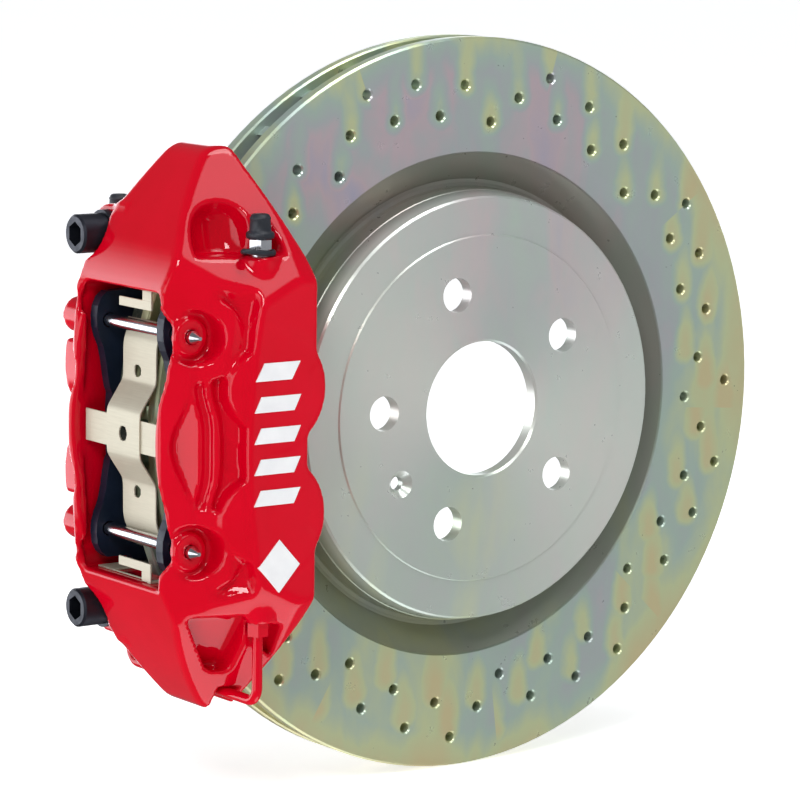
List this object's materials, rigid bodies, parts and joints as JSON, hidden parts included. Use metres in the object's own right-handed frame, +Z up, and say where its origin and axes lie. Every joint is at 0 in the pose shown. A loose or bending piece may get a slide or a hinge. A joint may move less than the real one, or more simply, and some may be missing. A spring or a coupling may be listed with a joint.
{
  "type": "brake caliper with disc",
  "caption": "Red four-piston radial-mount brake caliper over a drilled, ventilated disc with zinc plating.",
  "frame": {"origin": "on the disc's axis, at the disc hat's face that meets the hub", "axes": "+Y along the disc axis towards the hub (inboard), +Z up, the caliper on the -X side"},
  "size_m": [0.365, 0.13, 0.35],
  "materials": {
    "zinc_plated_iron": "polished",
    "red_lacquer": "glossy",
    "hard_anodised": "satin",
    "black_rubber": "matte",
    "black_steel": "satin",
    "friction_material": "matte",
    "bright_steel": "polished",
    "stainless": "satin",
    "black_oxide": "satin",
    "white_paint": "glossy"
  },
  "bodies": {
    "caliper": {"caliper_body": "red_lacquer", "piston_seals": "black_rubber", "dust_seals": "black_rubber", "pad_pin_upper": "bright_steel", "pad_pin_lower": "bright_steel", "pin_collars": "bright_steel", "pad_spring": "stainless", "abutment_upper": "stainless", "abutment_lower": "stainless", "cap_strap_outboard": "black_rubber", "cap_strap_inboard": "black_rubber", "crossover_tube": "red_lacquer", "tube_nut_outboard": "red_lacquer", "tube_nut_inboard": "red_lacquer", "mount_bolt_upper": "black_oxide", "mount_bolt_lower": "black_oxide", "mount_washers": "black_oxide"},
    "disc": {"disc": "zinc_plated_iron"},
    "pad_outboard": {"pad_plate_outboard": "black_steel", "friction_outboard": "friction_material", "shim_outboard": "black_steel"},
    "pad_inboard": {"pad_plate_inboard": "black_steel", "friction_inboard": "friction_material", "shim_inboard": "black_steel"},
    "piston_outboard_upper": {"piston_outboard_upper": "hard_anodised"},
    "piston_outboard_lower": {"piston_outboard_lower": "hard_anodised"},
    "piston_inboard_upper": {"piston_inboard_upper": "hard_anodised"},
    "piston_inboard_lower": {"piston_inboard_lower": "hard_anodised"},
    "bleed_screw_outboard": {"bleed_screw_outboard": "bright_steel"},
    "bleed_screw_inboard": {"bleed_screw_inboard": "bright_steel"},
    "bleed_cap_outboard": {"bleed_cap_outboard": "black_rubber"},
    "bleed_cap_inboard": {"bleed_cap_inboard": "black_rubber"}
  },
  "joints": [
    {"name": "disc_spin", "type": "hinge", "parent": "caliper", "child": "disc", "pos_m": [0, 0.018, 0], "axis": [0, 1, 0], "continuous": true},
    {"name": "pad_outboard_clamp", "type": "slide", "parent": "caliper", "child": "pad_outboard", "axis": [0, 1, 0], "range_m": [-0.0015, 0.00035]},
    {"name": "pad_inboard_clamp", "type": "slide", "parent": "caliper", "child": "pad_inboard", "axis": [0, -1, 0], "range_m": [-0.0015, 0.00035]},
    {"name": "piston_outboard_upper_slide", "type": "slide", "parent": "caliper", "child": "piston_outboard_upper", "axis": [0, 1, 0], "range_m": [-0.0015, 0.00035]},
    {"name": "piston_outboard_lower_slide", "type": "slide", "parent": "caliper", "child": "piston_outboard_lower", "axis": [0, 1, 0], "range_m": [-0.0015, 0.00035]},
    {"name": "piston_inboard_upper_slide", "type": "slide", "parent": "caliper", "child": "piston_inboard_upper", "axis": [0, -1, 0], "range_m": [-0.0015, 0.00035]},
    {"name": "piston_inboard_lower_slide", "type": "slide", "parent": "caliper", "child": "piston_inboard_lower", "axis": [0, -1, 0], "range_m": [-0.0015, 0.00035]},
    {"name": "bleed_screw_outboard_turn", "type": "hinge", "parent": "caliper", "child": "bleed_screw_outboard", "pos_m": [-0.143, -0.0305, 0.083], "axis": [0, 0, 1], "range_deg": [0, 270]},
    {"name": "bleed_screw_inboard_turn", "type": "hinge", "parent": "caliper", "child": "bleed_screw_inboard", "pos_m": [-0.15, 0.077, 0.083], "axis": [0, 0, 1], "range_deg": [0, 270]},
    {"name": "bleed_cap_outboard_pull", "type": "slide", "parent": "bleed_screw_outboard", "child": "bleed_cap_outboard", "axis": [0, 0, 1], "range_m": [0, 0.014]},
    {"name": "bleed_cap_inboard_pull", "type": "slide", "parent": "bleed_screw_inboard", "child": "bleed_cap_inboard", "axis": [0, 0, 1], "range_m": [0, 0.014]}
  ],
  "couplings": [
    {"joint": "pad_inboard_clamp", "follows": "pad_outboard_clamp", "ratio": 1},
    {"joint": "piston_outboard_upper_slide", "follows": "pad_outboard_clamp", "ratio": 1},
    {"joint": "piston_outboard_lower_slide", "follows": "pad_outboard_clamp", "ratio": 1},
    {"joint": "piston_inboard_upper_slide", "follows": "pad_outboard_clamp", "ratio": 1},
    {"joint": "piston_inboard_lower_slide", "follows": "pad_outboard_clamp", "ratio": 1}
  ]
}
